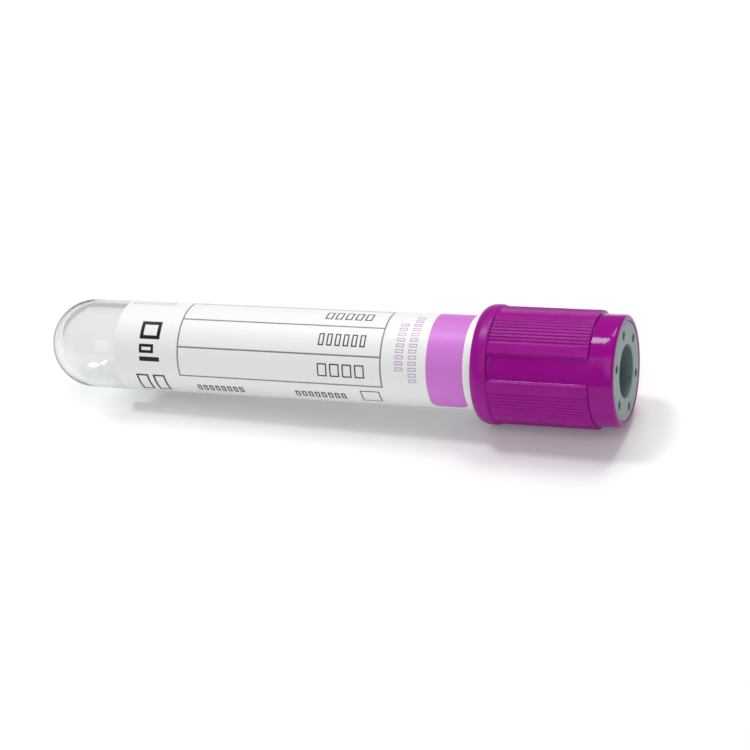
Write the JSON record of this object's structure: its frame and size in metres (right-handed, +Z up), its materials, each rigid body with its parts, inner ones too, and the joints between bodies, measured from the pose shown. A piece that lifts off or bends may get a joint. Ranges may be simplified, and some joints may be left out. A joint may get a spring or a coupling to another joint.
{
  "type": "blood collection tube",
  "caption": "Clear round-ended sample tube with a paper label, closed by a rubber stopper in a ribbed pull-off cap, lying on its side.",
  "frame": {"origin": "centre of the bounding box's underside: the middle of the tube's length, on the surface that it lies on", "axes": "+X from the tube's round end towards the cap, +Z up; the tube's own axis rises 1.6 degrees towards the cap, because it lies on the cap's collar and on its round end"},
  "size_m": [0.0872, 0.0166, 0.0167],
  "materials": {
    "tube_clear": "clear moulded PET, polished",
    "label_paper": "coated white label paper with a printed grid and a lavender band",
    "stopper_rubber": "smooth moulded grey butyl rubber, slight sheen",
    "cap_plastic": "glossy moulded magenta-purple polyethylene"
  },
  "bodies": {
    "tube_body": {"tube": "tube_clear", "label": "label_paper"},
    "closure": {"stopper": "stopper_rubber", "cap": "cap_plastic"}
  },
  "joints": [
    {"name": "closure_pull", "type": "slide", "parent": "tube_body", "child": "closure", "axis": [0.9996, 0, 0.0282], "range_m": [0, 0.025]}
  ]
}
